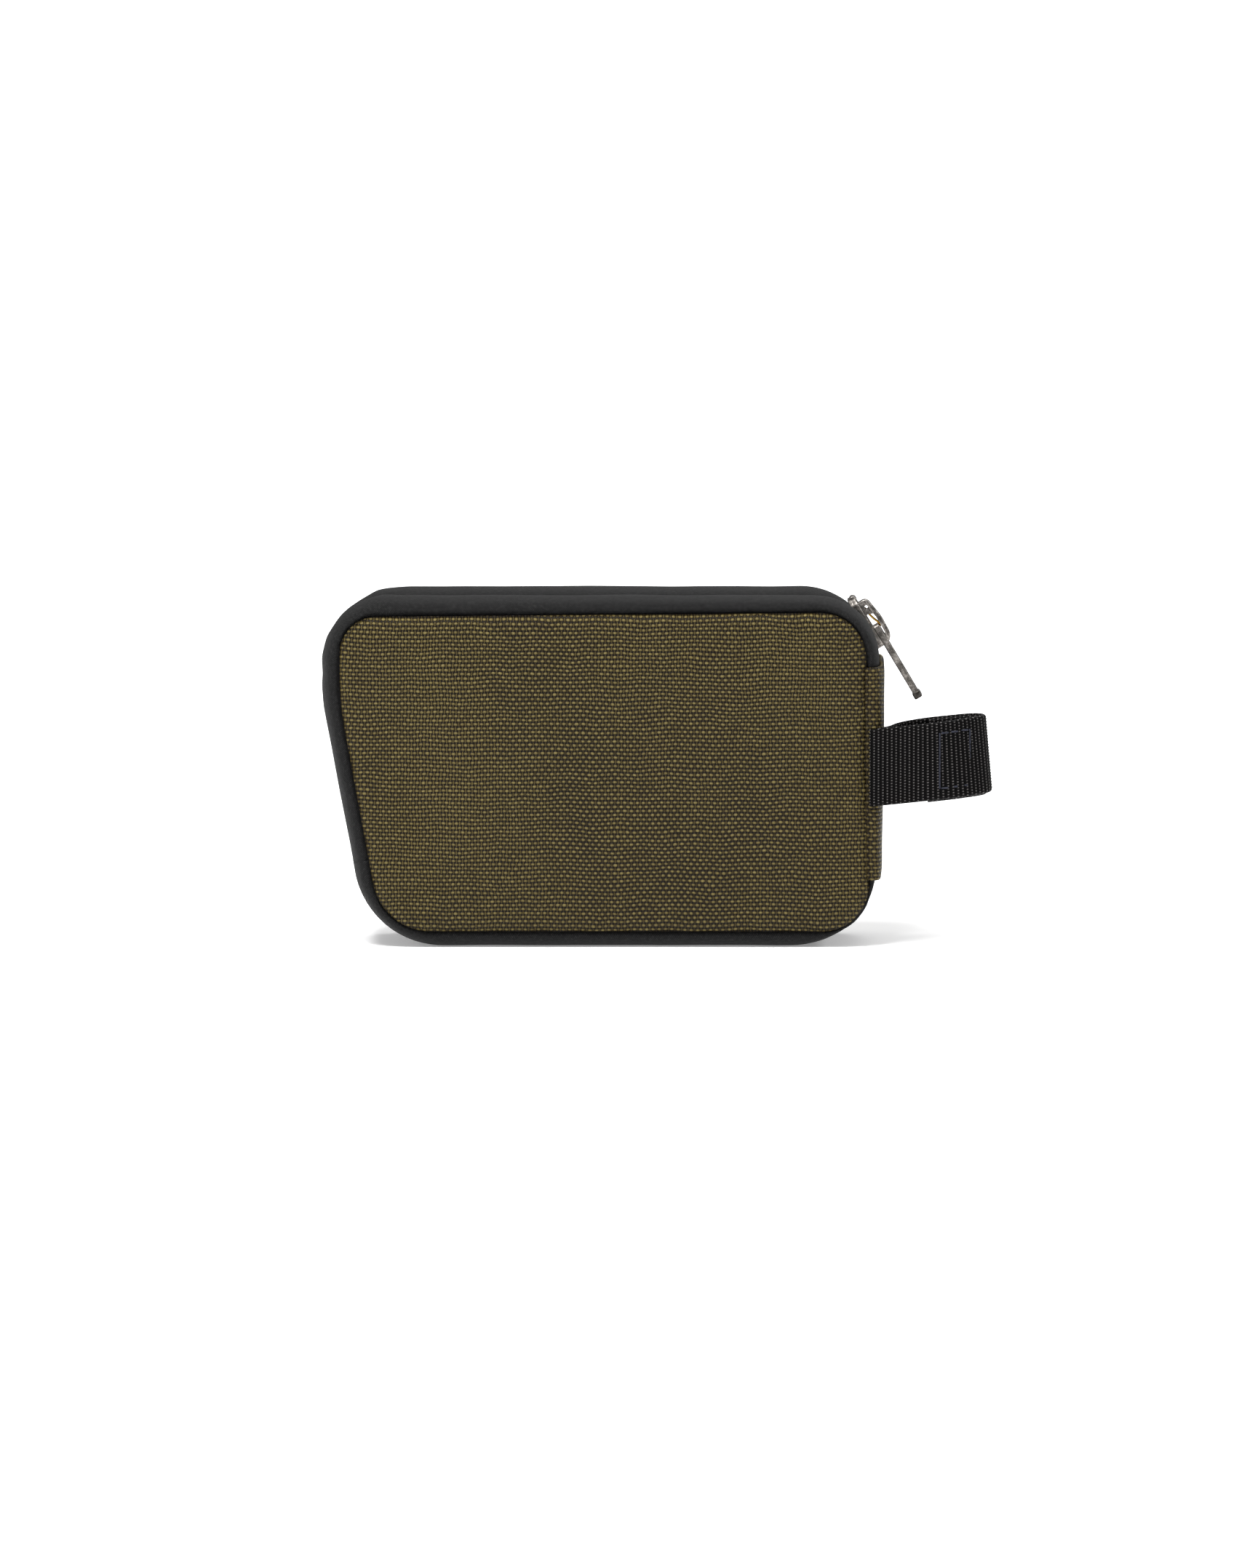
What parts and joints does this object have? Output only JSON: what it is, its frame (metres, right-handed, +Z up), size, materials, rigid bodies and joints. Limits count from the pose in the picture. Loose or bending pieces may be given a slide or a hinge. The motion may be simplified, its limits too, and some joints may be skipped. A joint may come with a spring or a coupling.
{
  "type": "cable organizer pouch",
  "caption": "Zipped soft pouch with padded cloth walls, a rolled gusset, a side webbing grab loop and a metal slider, lined with elastic cable loops and a mesh pocket.",
  "frame": {"origin": "middle of the flat strip of gusset that the pouch stands on", "axes": "+Z up, +X towards the webbing grab loop, -Y towards the front panel"},
  "size_m": [0.2149, 0.0579, 0.113],
  "materials": {
    "olive_cloth": "coarse plain weave",
    "black_cloth": "fine diagonal twill",
    "lining_cloth": "smooth woven lining",
    "foam": "open cell sheet",
    "binding_tape": "ribbed tape",
    "zip_tape": "woven tape",
    "zip_coil": "moulded coil",
    "worn_nickel": "worn gunmetal plating",
    "brass_spring": "polished leaf",
    "webbing": "ribbed webbing",
    "thread": "polyester thread",
    "elastic": "ribbed elastic",
    "mesh": "knitted mesh"
  },
  "bodies": {
    "back_half": {"back_panel": "olive_cloth", "back_lining": "lining_cloth", "back_foam": "foam", "back_seam_binding": "binding_tape", "back_gusset": "black_cloth", "bottom_gusset": "black_cloth", "gusset_lining": "lining_cloth", "zip_tape_back": "zip_tape", "zip_coil_back": "zip_coil", "zip_stops": "zip_coil", "end_panel": "olive_cloth", "cable_loops": "elastic", "loop_tacks": "thread"},
    "front_half": {"front_panel": "olive_cloth", "front_lining": "lining_cloth", "front_foam": "foam", "front_seam_binding": "binding_tape", "front_gusset": "black_cloth", "zip_tape_front": "zip_tape", "zip_coil_front": "zip_coil", "mesh_pocket": "mesh", "pocket_edge": "binding_tape"},
    "slider": {"slider_body": "worn_nickel", "slider_bridge": "worn_nickel", "slider_spring": "brass_spring"},
    "pull": {"pull_tab": "worn_nickel"},
    "hand_loop": {"grab_loop": "webbing", "loop_sleeve": "webbing", "loop_stitching": "thread"}
  },
  "joints": [
    {"name": "front_open", "type": "hinge", "parent": "back_half", "child": "front_half", "pos_m": [0, -0.025, 0.005], "axis": [1, 0, 0], "range_deg": [0, 35], "deforming": ["zip_tape_front", "zip_coil_front"]},
    {"name": "slider_travel", "type": "hinge", "parent": "back_half", "child": "slider", "pos_m": [0.069, 0, 0.093], "axis": [0, 1, 0], "range_deg": [-58, 12]},
    {"name": "pull_swing", "type": "hinge", "parent": "slider", "child": "pull", "pos_m": [0.08797, 0, 0.10132], "axis": [0, -1, 0], "range_deg": [0, 165]},
    {"name": "loop_swing", "type": "hinge", "parent": "front_half", "child": "hand_loop", "pos_m": [0.0854, -0.0265, 0.058], "axis": [0, 0, -1], "range_deg": [-5, 75]}
  ]
}
